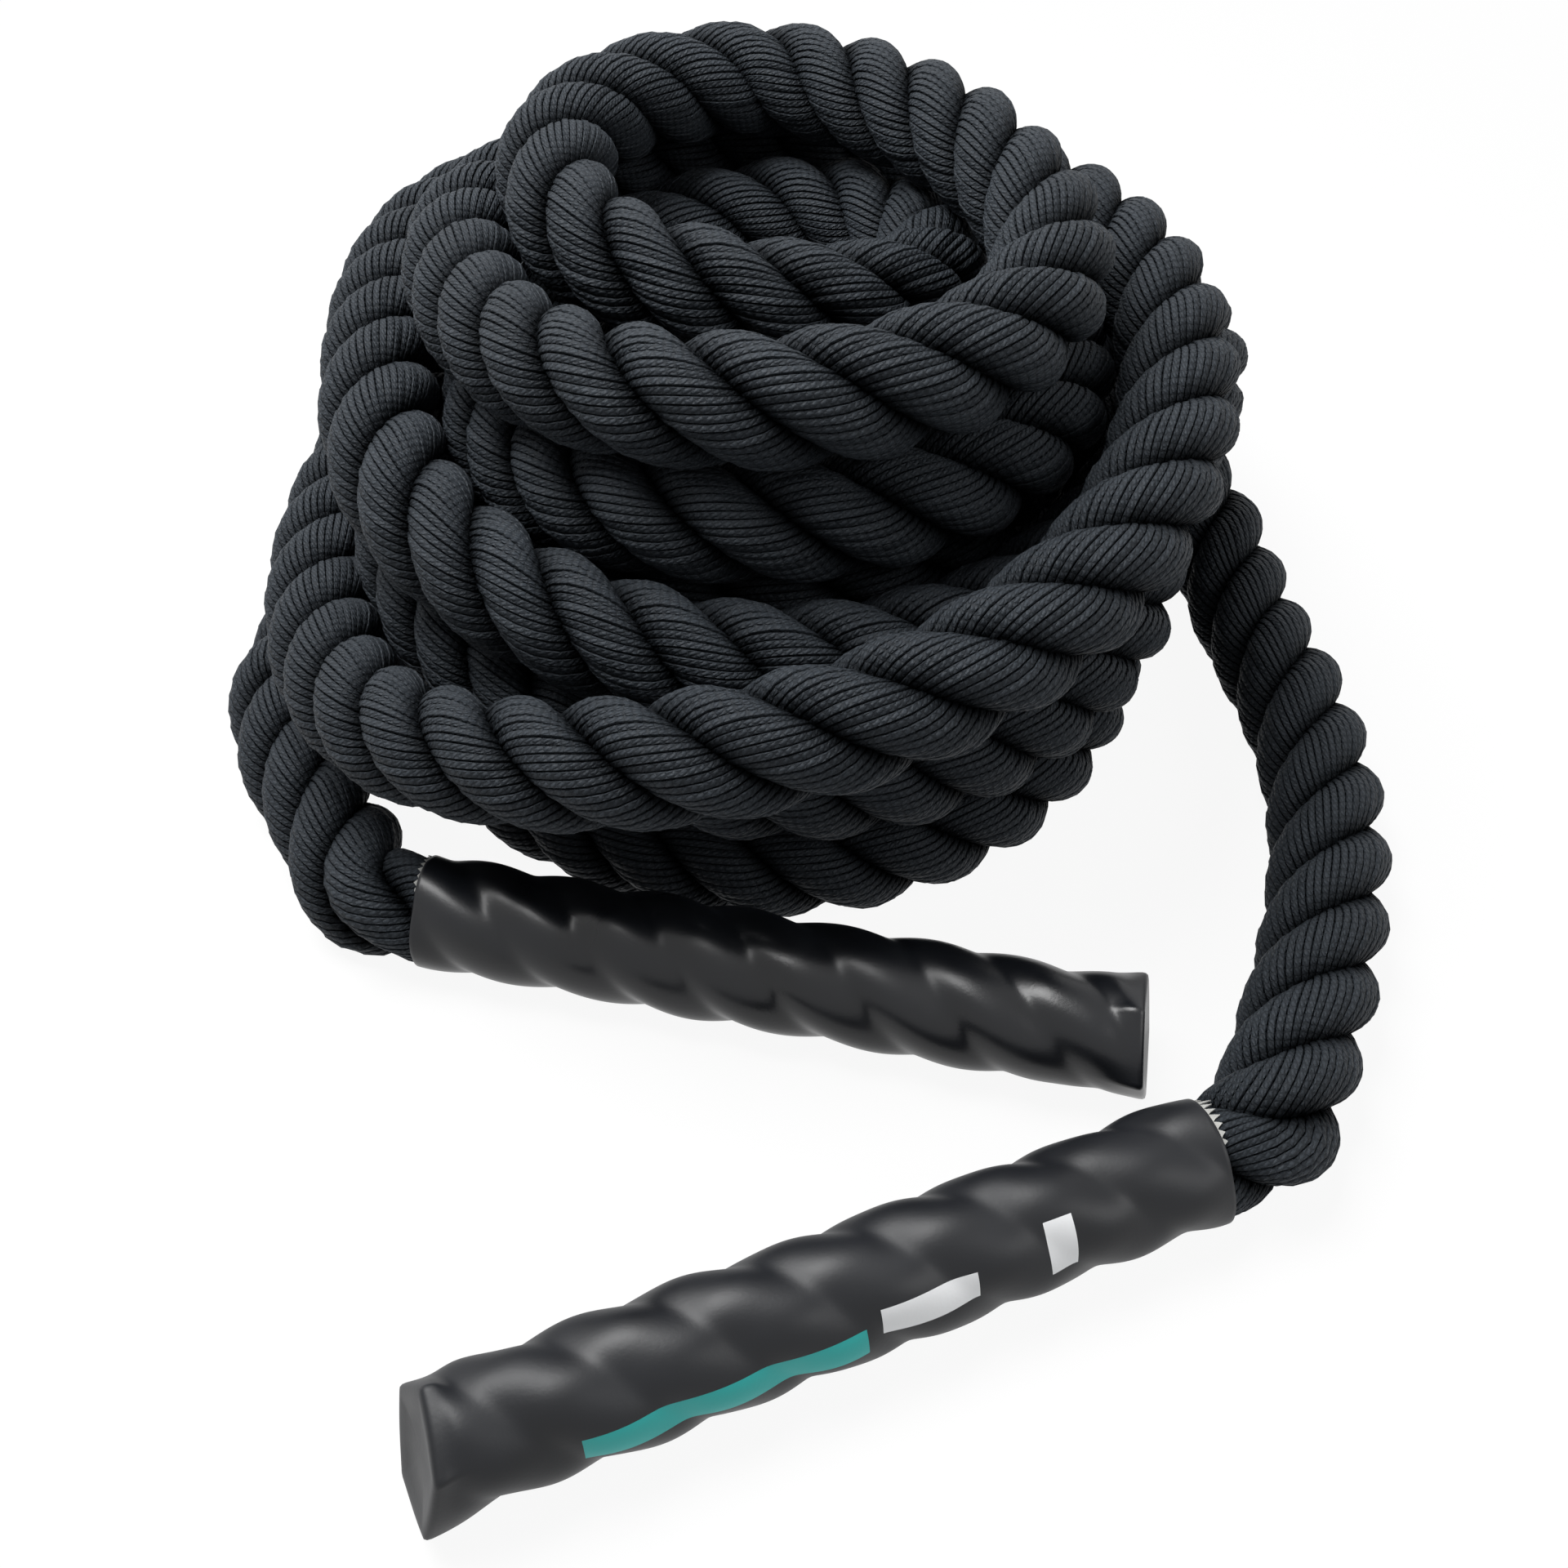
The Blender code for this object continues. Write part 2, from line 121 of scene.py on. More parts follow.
# How the sleeves lie over the rope: the creases' softness, the closed end's corners and the
# roundness of its sides, how steeply the flare opens, the waist before it (its place in lengths of
# the flare), and the waves: a height, turns round, along and their shift
CREASE_SOFTNESS = 0.00095
END_CORNERS = 5
END_TURN = 0.7
END_ROUNDNESS = 0.25
END_WAVE = 0.0005
FLARE_CURVE = 1.4
WAIST_PLACE = 1.3
WAIST_DEPTH = 0.0006
WAIST_LENGTH = 0.010
DRAPE_WAVES = ((0.00030, 2, 61.0, 1.0), (0.00022, 5, -143.0, 2.0))

# Each sleeve's shift of its waves and how far its closed end leans back
SLEEVE_LEANS = {"near": (0.0, 0.30), "far": (2.2, 0.16)}
LEAN_OFFSET = 0.004

# The plain bars printed on the near sleeve: the colour, and the middle and half size of each, as
# shares of the way round and lengths from its first ring
PRINTED_BARS = (
    ("stripe_colour", (0.955, 0.209), (0.036, 0.052)),
    ("mark_colour", (0.915, 0.132), (0.036, 0.019)),
    ("mark_colour", (0.895, 0.079), (0.070, 0.0055)),
)

# The tape: its teeth, how far along each reaches at four points, the shortest tooth and how much
# the rest lean to it, how deep it starts in the mouth, how far its edge stands out where it is
# frayed, per grip how far in it lies elsewhere and its fray, and how far off the rope its skins lie
TAPE_TEETH = 42
TOOTH_SHARES = (0.0, 0.55, 1.0, 0.35)
SHORTEST_TOOTH = 0.30
TOOTH_CURVE = 1.3
TAPE_START = 0.010
TAPE_EDGE = 0.0006
TAPE_INSIDE = {"near": (0.0026, 1.0), "far": (0.0012, 0.4)}
TAPE_SKINS = (0.0006, 0.0001)

# Where the tape is frayed: the direction, how far that way it starts and over what it grows
FRAYED_SIDE = (0.0, 0.5, 0.8)
FRAYED_FROM = 0.42
FRAYED_OVER = 0.3

# The pile, one row a turn from the near grip's end of the rope to the far grip's end: the reach
# from the pile's middle and the height of the rope's centre, at the right, the back, the left and
# the front.
TURN_SHARES = (
    (4.72, 0.46, 4.00, 1.40, 3.36, 1.78, 3.28, 1.43),
    (3.08, 1.38, 4.50, 2.62, 3.28, 3.34, 3.04, 2.84),
    (3.24, 2.56, 4.95, 1.80, 4.34, 1.20, 3.96, 2.78),
    (3.04, 3.44, 3.86, 3.56, 2.46, 3.86, 2.36, 4.26),
    (2.20, 4.22, 1.88, 4.12, 2.16, 4.20, 1.76, 4.20),
    (1.55, 3.80, 2.70, 3.36, 2.70, 2.94, 2.38, 3.42),
    (2.42, 3.24, 2.66, 2.36, 2.34, 2.06, 2.34, 2.40),
    (2.20, 2.34, 1.72, 2.10, 1.36, 1.92, 1.34, 1.70),
    (1.36, 1.50, 1.36, 1.15, 1.36, 0.75, 1.32, 0.46),
    (1.26, 0.40, 2.08, 0.40, 2.52, 0.40, 2.30, 0.40),
    (2.34, 0.40, 2.75, 1.30, 2.80, 1.30, 2.34, 1.40),
    (2.24, 1.40, 3.42, 0.46, 3.56, 0.40, 3.26, 0.40),
    (3.02, 0.40, 4.46, 0.40, 4.69, 0.44, 5.00, 0.46),
)
LAST_QUARTER = 50

# Where the middle of the turns lies: a count of quarter turns, then its place. Two rounds are moved
# apart where they cross at the back on the right, one bulges out at the back on the left, the top
# loop sits back, and the innermost rounds sit a little to the left.
MIDDLE_SHARES = (
    (0.0, 0.0, 0.0),
    (3.8, 0.0, 0.0),
    (4.25, -0.42, -0.20),
    (4.6, -0.34, -0.34),
    (5.0, 0.0, 0.0),
    (5.5, -0.46, 0.64),
    (6.1, 0.0, 0.0),
    (7.8, 0.0, 0.0),
    (8.25, 0.38, 0.20),
    (8.6, 0.34, 0.34),
    (9.1, 0.0, 0.0),
    (16.0, 0.0, 0.0),
    (17.1, -0.31, 1.47),
    (18.6, -0.36, 1.44),
    (21.6, 0.0, 0.0),
    (29.0, 0.0, 0.0),
    (30.5, -0.25, 0.0),
    (35.6, -0.25, 0.0),
    (37.0, 0.0, 0.0),
    (50.0, 0.0, 0.0),
)

# The grips on the floor: the near one's mouth and the far one's closed end, from the pile's middle
NEAR_MOUTH_SHARES = (3.22, -6.41)
NEAR_HEADING = math.radians(201.9)
FAR_END_SHARES = (2.95, -5.35)
FAR_HEADING = math.radians(-13.0)

# The free ends' points, as shares of the straight way from grip to pile: along it, and out to its
# right
NEAR_TAIL_SHARES = ((0.061, 0.038), (0.208, 0.081), (0.417, 0.107), (0.673, 0.102), (0.872, 0.052))
FAR_TAIL_SHARES = ((0.164, -0.048), (0.382, -0.083), (0.617, -0.098), (0.814, -0.067))

# How the laid pile is let settle
SAMPLE_SHARE = 0.30
NEIGHBOUR_SHARE = 2.4
SEARCH_SHARE = 0.35
SEARCH_EVERY = 20
SETTLE_ROUNDS = 700
SINK_SHARE = 0.002
RETURN_SHARE = 0.02
FAIRING_SHARE = 0.04
PUSH_SHARE = 1.7
FINAL_ROUNDS_SHARE = 0.25

# How often the whole line is smoothed, and the lengths that the rope is made in, as shares of the
# way between the two necks
LINE_ROUNDS = 10
LENGTH_SHARES = (0.0, 0.16, 0.33, 0.50, 0.66, 0.83, 1.0)


# ---------------------------------------------------------------- sizes and colours


def length(name, description, default):
    """A length in metres that can be set."""
    return FloatProperty(name=name, description=description, default=default, unit="LENGTH")


def amount(name, description, default):
    """A plain number that can be set."""
    return FloatProperty(name=name, description=description, default=default)


def colour_of(name, description, default):
    """A colour that can be set."""
    return FloatVectorProperty(
        name=name, description=description, subtype="COLOR", size=3, default=default
    )


def angle_of(name, description, degrees):
    """An angle that can be set."""
    default = math.radians(degrees)
    return FloatProperty(name=name, description=description, default=default, unit="ROTATION")


class RopeSizes(bpy.types.PropertyGroup):
    """Sizes and colours of the rope."""

    diameter: length("Diameter", "Over the crests of the strands", 0.0535)
    strand_share: amount("Strand", "A strand's thickness as a share of the rope's", 0.495)
    yarns: IntProperty(name="Yarns", description="Yarns round a strand", default=19, min=6, max=40)
    groove: length("Groove", "How deep the grooves between yarns are", 0.0013)
    groove_share: amount("Groove width", "Half of a groove's width as a share of a yarn's", 0.17)
    yarn_slant: amount("Yarn slant", "The yarns' twist; 1 is along the rope at its crests", 1.50)
    ring_spacing: length("Ring spacing", "Between two rings of a strand's skin", 0.004)
    phase: angle_of("Phase", "Where the first strand starts round the rope", 60.0)
    grip_squeeze: amount("Grip squeeze", "The bound rope's thickness in a grip as a share", 0.87)
    colour: colour_of("Colour", "Black polyester", (0.0014, 0.0017, 0.0021))
    # The yarns' lit tone, mixed in on their backs and raised filaments as painted highlight; the
    # grooves keep the base colour as painted shade
    lit_filament_colour: colour_of("Filaments", "Lighter, on the yarns", (0.0325, 0.0386, 0.0462))


class GripSizes(bpy.types.PropertyGroup):
    """Sizes and colours of the sleeves and of the tape at their mouths."""

    crest_radius: length("Crest", "The sleeve's radius over a strand", 0.0250)
    lobe_offset: length("Lobes", "How far a lobe's middle lies off the grip's axis", 0.0052)
    wall: length("Wall", "The sleeve's wall at its mouth", 0.0013)
    flare_radius: length("Flare", "The closed end's radius", 0.0272)
    flare_length: length("Flare length", "How far the flare reaches back", 0.026)
    sleeve_colour: colour_of("Sleeve colour", "Shrink tube", (0.0040, 0.0046, 0.0062))
    stripe_colour: colour_of("Stripe", "The long printed bar", (0.020, 0.370, 0.350))
    mark_colour: colour_of("Marks", "The pale printed bars", (0.78, 0.79, 0.80))
    tape_colour: colour_of("Tape", "Pale fibre tape", (0.42, 0.42, 0.40))
    fray: length("Fray", "How far the tape's threads reach out", 0.0070)


class StageSizes(bpy.types.PropertyGroup):
    """Camera, floor and lamps."""

    camera_height: length("Camera height", "Over the floor", 0.600)
    camera_distance: length("Camera distance", "In front of the pile's middle", 0.660)
    camera_pitch: angle_of("Camera pitch", "Below the horizon", 47.0)
    lens: amount("Lens", "Focal length in millimetres", 38.95)
    floor_size: length("Floor", "Length of a side", 8.0)
    floor_colour: colour_of("Floor colour", "Plain pale floor", (0.80, 0.80, 0.80))
    floor_white: amount("Floor white", "How much of the floor's look is plain white", 0.92)
    shadow_reach: length("Shadow reach", "How far out the floor shows its shadow", 0.7)
    ambient: amount("Ambient", "Strength of the light from all round", 0.10)
    key_power: amount("Key lamp", "Power in watts", 45.0)
    fill_power: amount("Fill lamp", "Power in watts", 8.0)


# ---------------------------------------------------------------- the rope's way


def smooth_rows(rows, places):
    """Rows read at fractional row numbers on one smooth curve through all of them."""
    rows = np.asarray(rows, float)
    last = len(rows) - 1
    row = np.clip(np.floor(places).astype(int), 0, last - 1)
    part = (places - row)[:, None]
    before = rows[np.clip(row - 1, 0, last)]
    start = rows[row]
    end = rows[row + 1]
    after = rows[np.clip(row + 2, 0, last)]
    linear = (end - before) * part
    square = (2 * before - 5 * start + 4 * end - after) * part ** 2
    cube = (3 * start - before - 3 * end + after) * part ** 3
    return 0.5 * (2 * start + linear + square + cube)


def arc_lengths(points):
    """The way along a row of points."""
    steps = np.linalg.norm(np.diff(points, axis=0), axis=1)
    return np.concatenate([[0.0], np.cumsum(steps)])


def eased_middle(quarters):
    """The middle of the pile's turns at each count of quarter turns."""
    rows = np.array(MIDDLE_SHARES)
    row = np.clip(np.searchsorted(rows[:, 0], quarters, side="right") - 1, 0, len(rows) - 2)
    part = np.clip((quarters - rows[row, 0]) / (rows[row + 1, 0] - rows[row, 0]), 0.0, 1.0)
    eased = (part * part * (3 - 2 * part))[:, None]
    return rows[row, 1:] + (rows[row + 1, 1:] - rows[row, 1:]) * eased


def laid_pile():
    """The pile as laid, evenly sampled, in rope diameters: quarter turns and centre points."""
    quarters = np.linspace(0.0, LAST_QUARTER, LAST_QUARTER * COIL_POINTS_PER_TURN + 1)
    reach_and_height = smooth_rows(np.array(TURN_SHARES).reshape(-1, 2), quarters)
    angles = quarters * math.pi / 2
    middle = eased_middle(quarters)
    points = np.column_stack([
        middle[:, 0] + reach_and_height[:, 0] * np.cos(angles),
        middle[:, 1] + reach_and_height[:, 0] * np.sin(angles),
        reach_and_height[:, 1],
        quarters,
    ])
    sampled = evenly(points, SAMPLE_SHARE)
    return sampled[:, 3].copy(), sampled[:, :3].copy()


def near_pairs(points):
    """Pairs of samples of different rounds that are close enough to touch soon."""
    apart = np.linalg.norm(points[:, None] - points[None], axis=2)
    first, second = np.nonzero(np.triu(apart < SPACING_SHARE + SEARCH_SHARE, 1))
    other_round = second - first > round(NEIGHBOUR_SHARE / SAMPLE_SHARE)
    return first[other_round], second[other_round]


def settled_pile():
    """The laid pile, its rounds pushed apart and sunk until they rest on each other."""
    quarters, laid = laid_pile()
    count = len(laid)
    free = np.ones(count)
    free[:3] = 0.0
    free[-3:] = 0.0
    moved = np.zeros_like(laid)
    first, second = near_pairs(laid)
    for turn in range(SETTLE_ROUNDS):
        now = laid + moved
        if turn % SEARCH_EVERY == 0:
            first, second = near_pairs(now)
        between = now[first] - now[second]
        apart = np.sqrt((between * between).sum(axis=1))
        share = np.maximum(SPACING_SHARE - apart, 0.0) / apart
        share = share / np.maximum(free[first] + free[second], 1.0)
        touching = share > 0
        touches = np.bincount(first, touching, count) + np.bincount(second, touching, count)
        push = np.zeros_like(laid)
        for axis in range(3):
            push[:, axis] += np.bincount(first, share * between[:, axis], count)
            push[:, axis] -= np.bincount(second, share * between[:, axis], count)
        push *= (PUSH_SHARE * free / np.maximum(touches, 1.0))[:, None]
        passes = 1
        if turn < SETTLE_ROUNDS * (1 - FINAL_ROUNDS_SHARE):
            push[:, 2] -= SINK_SHARE * free
            push -= RETURN_SHARE * moved
            passes = 3
        moved = moved + push
        for _ in range(passes):
            bend = moved[:-2] + moved[2:] - 2 * moved[1:-1]
            moved[1:-1] += 0.25 * bend * free[1:-1, None]
        now = laid + moved
        kink = now[:-4] - 4 * now[1:-3] + 6 * now[2:-2] - 4 * now[3:-1] + now[4:]
        moved[2:-2] -= FAIRING_SHARE * kink * free[2:-2, None]
        moved[:, 2] = np.maximum(laid[:, 2] + moved[:, 2], FLOOR_ROUND_SHARE) - laid[:, 2]
    return quarters, laid + moved


def tail_height():
    """The height at which the free ends' centre lies."""
    return ROPE_DIAMETER / 2 * math.cos(math.pi / TAIL_SIDES)


def pile_route():
    """The pile's centre line in metres, a straight run of one diameter at each end included."""
    quarters, settled = settled_pile()
    count = LAST_QUARTER * COIL_POINTS_PER_TURN // 4
    wanted = np.linspace(0.0, LAST_QUARTER, count + 1)
    places = np.interp(wanted, quarters, np.arange(len(quarters)))
    points = smooth_rows(settled, places)
    lead_in = points[0] - points[1]
    lead_out = points[-1] - points[-2]
    lead_in[2] = 0.0
    lead_out[2] = 0.0
    start = points[0] + lead_in / np.linalg.norm(lead_in)
    end = points[-1] + lead_out / np.linalg.norm(lead_out)
    route = np.vstack([start, points, end]) * ROPE_DIAMETER
    route[:2, 2] = tail_height()
    route[-2:, 2] = tail_height()
    return route


def grip_frames():
    """Where each grip's mouth is and how its axis runs, mouth to closed end, as matrices."""
    mouth_height = SLEEVE_RADIUS + SLEEVE_CREST
    rise = math.asin((FLARE_RADIUS - mouth_height) / GRIP_LENGTH)
    flat_run = GRIP_LENGTH * math.cos(rise)
    frames = {}
    for side, heading in (("near", NEAR_HEADING), ("far", FAR_HEADING)):
        run = Vector((math.cos(heading), math.sin(heading), 0.0))
        if side == "near":
            mouth = Vector((*NEAR_MOUTH_SHARES, 0.0)) * ROPE_DIAMETER
        else:
            mouth = Vector((*FAR_END_SHARES, 0.0)) * ROPE_DIAMETER - run * flat_run
        mouth.z = mouth_height
        turn = Matrix.Rotation(heading, 4, "Z") @ Matrix.Rotation(-rise, 4, "Y")
        frames[side] = Matrix.Translation(mouth) @ turn
    return frames


def grip_axis(grip):
    """A grip's axis, from its mouth to its closed end."""
    return grip.to_3x3() @ Vector((1.0, 0.0, 0.0))


def tail_route(grip, shares, coil_end, coil_next):
    """A free end's centre points from the grip's neck to the pile, about a diameter apart."""
    axis = grip_axis(grip)
    neck = grip.translation - axis * (NECK_LENGTH + SEAM_GAP)
    straight = neck - axis * (ROPE_DIAMETER / 3)
    outward = Vector(coil_end) - Vector(coil_next)
    outward.normalize()
    end = Vector(coil_end) + outward * SEAM_GAP
    before_end = end + outward * (ROPE_DIAMETER / 3)
    way_over = end - neck
    right = Vector((way_over.y, -way_over.x, 0.0))
    middle = [neck + way_over * along + right * out for along, out in shares]
    for place in middle:
        place.z = tail_height()
    chosen = np.array([neck, straight, *middle, before_end, end])
    fine = smooth_rows(chosen[1:-1], np.linspace(0.0, len(chosen) - 3, 200))
    return np.vstack([chosen[:1], evenly(fine, ROPE_DIAMETER), chosen[-1:]])


def run_through(points, step):
    """A row of points read on one smooth curve through them, about a step apart."""
    count = int(arc_lengths(points)[-1] / step) + 2
    return smooth_rows(points, np.linspace(0.0, len(points) - 1, count))


def evenly(points, step):
    """A polyline read again at even steps, with the further columns that go along with it."""
    way = arc_lengths(points[:, :3])
    even = np.linspace(0.0, way[-1], int(round(way[-1] / step)) + 1)
    return np.column_stack([np.interp(even, way, column) for column in points.T])


@functools.lru_cache(maxsize=None)
def rope_line(step):
    """The whole centre line from the near grip's closed end to the far grip's, at even steps.

    Returns the points and the way along them at each grip's mouth.
    """
    fine = step / 2
    route = pile_route()
    grips = grip_frames()
    near = tail_route(grips["near"], NEAR_TAIL_SHARES, route[0], route[1])
    far = tail_route(grips["far"], FAR_TAIL_SHARES, route[-1], route[-2])
    axis = {side: np.array(grip_axis(grip)) for side, grip in grips.items()}
    inner = GRIP_LENGTH - END_WALL - END_SETBACK
    places = np.arange(0.0, inner + NECK_LENGTH, fine)
    near_grip = np.array(grips["near"].translation) + np.outer(inner - places, axis["near"])
    far_grip = np.array(grips["far"].translation) + np.outer(places - NECK_LENGTH, axis["far"])
    joined = np.vstack([
        near_grip,
        run_through(near, fine)[1:-1],
        run_through(route, fine),
        run_through(far, fine)[::-1][1:-1],
        far_grip,
    ])
    line = evenly(joined, step)
    for _ in range(LINE_ROUNDS):
        line[1:-1] += 0.25 * (line[:-2] + line[2:] - 2 * line[1:-1])
    line = evenly(line, step)
    line[:, :2] += PILE_MIDDLE
    way = arc_lengths(line)
    mouths = []
    for side in ("near", "far"):
        mouth = np.array(grips[side].translation) + (*PILE_MIDDLE, 0.0)
        mouths.append(float(way[np.linalg.norm(line - mouth, axis=1).argmin()]))
    return line, way, mouths[0], mouths[1]


# ---------------------------------------------------------------- skins


def placed_object(name, data):
    """A new object in the scene."""
    made = bpy.data.objects.new(name, data)
    bpy.context.scene.collection.objects.link(made)
    return made


def unit_rows(vectors):
    """Vectors of length one."""
    return vectors / np.linalg.norm(vectors, axis=-1, keepdims=True)


def carried_frames(line):
    """Tangents along a line and two directions across it that don't turn round it on the way."""
    tangents = unit_rows(np.gradient(line, axis=0))
    across = np.empty_like(line)
    now = np.cross(tangents[0], (0.0, 0.0, 1.0))
    for row, tangent in enumerate(tangents):
        now = now - tangent * now.dot(tangent)
        now = now / np.linalg.norm(now)
        across[row] = now
    return tangents, across, np.cross(tangents, across)


def eased(value):
    """0 to 1 with a soft start and end."""
    part = np.clip(value, 0.0, 1.0)
    return part * part * (3 - 2 * part)


def rested(points, depth):
    """Points that would sink into the floor, pressed flat on it."""
    height = points[..., 2]
    pressed = depth * np.exp((np.minimum(height, depth) - depth) / depth)
    points[..., 2] = np.where(height < depth, pressed, height)
    return points


def skinned(name, skins, scale, look, bridged=False, rows_on_map=1, openness=None):
    """One mesh of skins, each a grid of points, ring by ring: bent round, joined and closed.

    A skin's first map counts its places round and along, in the given scale, and its bake map
    unrolls it. The crease shade mask, a grid for each skin, says how far each place lies out of the
    creases between strands; where it is 0, painted shade darkens the colour.
    """
    body = bmesh.new()
    for skin in skins:
        bmesh.ops.create_grid(body, x_segments=len(skin) - 1, y_segments=skin.shape[1], size=1.0)
    mesh = bpy.data.meshes.new(name)
    body.to_mesh(mesh)
    body.free()
    grid = np.empty(len(mesh.vertices) * 3)
    mesh.vertices.foreach_get("co", grid)
    grid = (grid.reshape(-1, 3)[:, :2] + 1.0) / 2
    placed = np.empty((len(grid), 3))
    along = np.empty(len(grid), int)
    round_it = np.empty(len(grid), int)
    which = np.empty(len(grid), int)
    start = 0
    for number, skin in enumerate(skins):
        rings, sides = skin.shape[:2]
        part = slice(start, start + rings * (sides + 1))
        along[part] = np.rint(grid[part, 0] * (rings - 1))
        round_it[part] = np.rint(grid[part, 1] * sides)
        placed[part] = skin[along[part], round_it[part] % sides]
        which[part] = number
        start = part.stop
    mesh.vertices.foreach_set("co", placed.ravel())
    # Each place's mask for the painted shade in the creases, for the material
    if openness is not None:
        crease_shade_values = np.concatenate([
            grid_of[along[which == number], round_it[which == number] % grid_of.shape[1]]
            for number, grid_of in enumerate(openness)
        ])
        mesh.attributes.new(CREASE_SHADE_MASK, "FLOAT", "POINT").data.foreach_set("value", crease_shade_values)
    corner = np.empty(len(mesh.loops), int)
    mesh.loops.foreach_get("vertex_index", corner)
    rings, sides = skins[0].shape[:2]
    fibres = np.column_stack([round_it[corner] * scale[0], along[corner] * scale[1]])
    mesh.uv_layers.new(name=FIBRE_MAP).uv.foreach_set("vector", fibres.ravel())
    first_ring = np.repeat(along[corner].reshape(-1, 4).min(axis=1), 4)
    rings_a_row = math.ceil((rings - 1) / rows_on_map)
    row = first_ring // rings_a_row
    round_share = MAP_EDGE + (1 - 2 * MAP_EDGE) * round_it[corner] / sides
    lane = (which[corner] * rows_on_map + row + round_share) / (len(skins) * rows_on_map)
    unrolled = np.column_stack([(along[corner] - row * rings_a_row) / rings_a_row, lane])
    mesh.uv_layers.new(name=BAKE_MAP).uv.foreach_set("vector", unrolled.ravel())
    body = bmesh.new()
    body.from_mesh(mesh)
    body.verts.ensure_lookup_table()
    seam = [body.verts[index] for index in np.nonzero((round_it == 0) | (round_it == sides))[0]]
    bmesh.ops.remove_doubles(body, verts=seam, dist=SEAM_GAP / 1000)
    open_edges = [edge for edge in body.edges if edge.is_boundary]
    if bridged:
        bmesh.ops.bridge_loops(body, edges=open_edges)
    else:
        bmesh.ops.holes_fill(body, edges=open_edges, sides=0)
    bmesh.ops.recalc_face_normals(body, faces=body.faces)
    body.to_mesh(mesh)
    body.free()
    mesh.shade_smooth()
    mesh.set_sharp_from_angle(angle=SHARP_ANGLE)
    mesh.materials.append(look)
    return placed_object(name, mesh)


def ring_step(sizes):
    return sizes.ring_spacing * 1.0


def rope_scale(way, near_mouth, far_mouth, squeeze):
    """The rope's thickness along it as a share: bound tighter where it goes into a grip."""
    run_in = RUN_IN_SHARE * ROPE_DIAMETER
    outside = np.minimum(way - near_mouth, far_mouth - way)
    return squeeze + (1.0 - squeeze) * eased(outside / run_in)


def strand_skins(sizes, first, last):
    """The strands' skins between two rows of the rope's line, and their painted crease shade masks.
    """
    line, way, near_mouth, far_mouth = rope_line(ring_step(sizes))
    _, across, up = carried_frames(line)
    strand_radius = sizes.diameter * sizes.strand_share / 2
    ring_radius = sizes.diameter / 2 - strand_radius
    lean = math.atan(2 * math.pi * ring_radius / LAY_LENGTH)
    curve = math.sin(lean) ** 2 / ring_radius
    laid_along = math.tan(lean) * (1 + curve * strand_radius) / strand_radius / math.cos(lean)
    yarn_rate = -sizes.yarn_slant * laid_along
    share = rope_scale(way, near_mouth, far_mouth, sizes.grip_squeeze)
    yarn = np.repeat(np.arange(sizes.yarns), POINTS_A_YARN)
    inside = np.tile((0.0, sizes.groove_share, 1.0 - sizes.groove_share), sizes.yarns)
    around = (yarn + inside) * 2 * math.pi / sizes.yarns
    depth = np.tile((sizes.groove, 0.0, 0.0), sizes.yarns)
    part = slice(first, last + 1)
    skins, openness = [], []
    for strand in range(STRANDS):
        turn = sizes.phase + 2 * math.pi * (way / LAY_LENGTH + strand / STRANDS)
        outward = across * np.cos(turn)[:, None] + up * np.sin(turn)[:, None]
        wander = 1.0 + sum(
            height * np.sin(way * rate + shift * strand) for height, rate, shift in THICKNESS_WAVES
        )
        centre = line + outward * (ring_radius * share)[:, None]
        along = unit_rows(np.gradient(centre, axis=0))
        out = unit_rows(outward - along * (outward * along).sum(axis=1)[:, None])
        side = np.cross(along, out)
        angle = around[None, :] + (yarn_rate * way)[:, None]
        swell = sum(
            height * np.sin(yarn[None, :] * a_yarn + way[:, None] * rate + shift * strand)
            for height, a_yarn, rate, shift in YARN_WAVES
        )
        reach = (strand_radius * share * wander)[:, None] + swell - depth[None, :]
        reach, angle = reach[part, :, None], angle[part, :, None]
        outwards = np.cos(angle) * out[part, None] + np.sin(angle) * side[part, None]
        skins.append(rested(centre[part, None] + reach * outwards, ROPE_PRESS))
        # Painted shade: 0 in the creases between strands, where the colour is darkened, 1 on their
        # open sides
        facing = np.cos(angle[..., 0])
        openness.append(eased((facing - FULL_SHADE_COSINE) / (UNSHADED_COSINE - FULL_SHADE_COSINE)))
    return skins, openness


def rope_piece(name, sizes, first, last, look, rows_on_map=1):
    """The rope between two rows of its line, as one mesh."""
    skins, openness = strand_skins(sizes, first, last)
    yarn_width = math.pi * sizes.diameter * sizes.strand_share / sizes.yarns
    scale = (1 / POINTS_A_YARN, ring_step(sizes) / yarn_width)
    return skinned(name, skins, scale, look, rows_on_map=rows_on_map, openness=openness)


# ---------------------------------------------------------------- finishes


def node(tree, kind, **settings):
    """A shader node with its settings. Names that the node lacks are its sockets."""
    made = tree.nodes.new(kind)
    for name, value in settings.items():
        if hasattr(made, name):
            setattr(made, name, value)
        else:
            made.inputs[name.replace("_", " ")].default_value = value
    return made


def maths(tree, operation, first, second=None):
    """A Math node fed by sockets or numbers; returns its output."""
    made = node(tree, "ShaderNodeMath", operation=operation)
    for socket, value in zip(made.inputs, (first, second)):
        if isinstance(value, bpy.types.NodeSocket):
            tree.links.new(value, socket)
        elif value is not None:
            socket.default_value = value
    return made.outputs[0]


def group_with(name, inputs, outputs):
    """A shader node group, its inputs (a vector where no default is given) and its outputs."""
    group = bpy.data.node_groups.new(name, "ShaderNodeTree")
    for socket, default in inputs.items():
        kind = "NodeSocketVector" if default is None else "NodeSocketFloat"
        made = group.interface.new_socket(name=socket, in_out="INPUT", socket_type=kind)
        if default is not None:
            made.default_value = default
    for socket in outputs:
        group.interface.new_socket(name=socket, in_out="OUTPUT", socket_type="NodeSocketFloat")
    return group, group.nodes.new("NodeGroupInput"), group.nodes.new("NodeGroupOutput")


